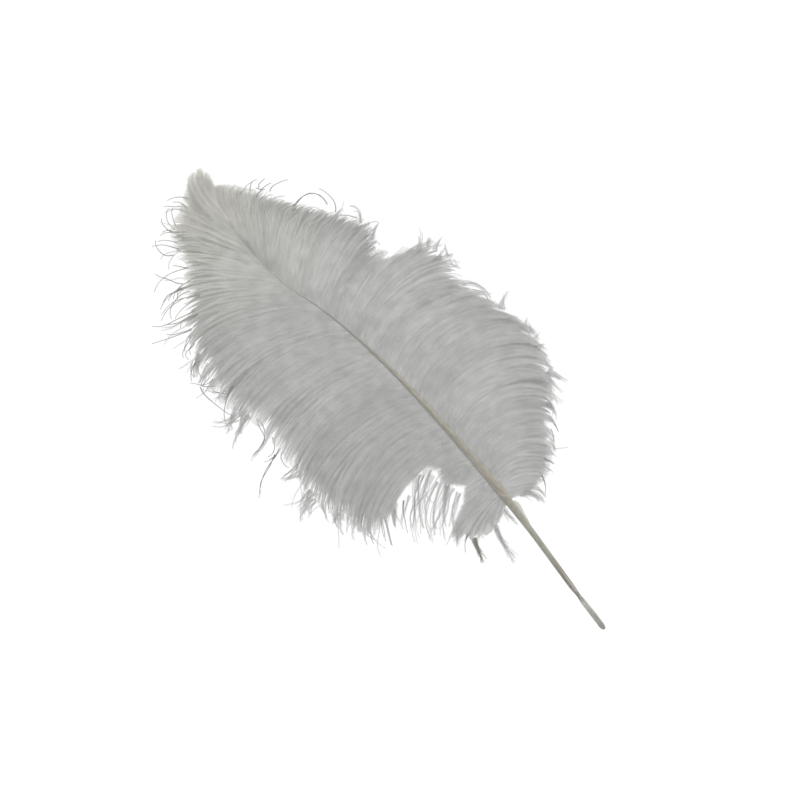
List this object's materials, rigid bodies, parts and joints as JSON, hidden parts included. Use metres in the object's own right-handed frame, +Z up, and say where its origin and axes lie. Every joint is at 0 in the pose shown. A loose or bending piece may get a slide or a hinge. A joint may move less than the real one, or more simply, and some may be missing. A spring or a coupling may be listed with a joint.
{
  "type": "ostrich feather",
  "caption": "White ostrich wing plume lying on a surface: a tapering curved quill shaft with a broad vane of soft, curling barbs on each side.",
  "frame": {"origin": "on the surface that the feather lies on, under the middle of its outline", "axes": "+X from the quill's butt to the plume's tip, +Y to the left vane, +Z up from the surface"},
  "size_m": [0.5507, 0.277, 0.0193],
  "materials": {
    "shaft": "cream to grey-tan keratin, satin, darker along its sides, dried and clouded at the quill's butt",
    "barbs": "soft matt white to pale grey barbs, see-through where they are thin"
  },
  "bodies": {
    "root": {"shaft": "shaft", "vane_left": "barbs", "vane_right": "barbs"}
  },
  "joints": []
}
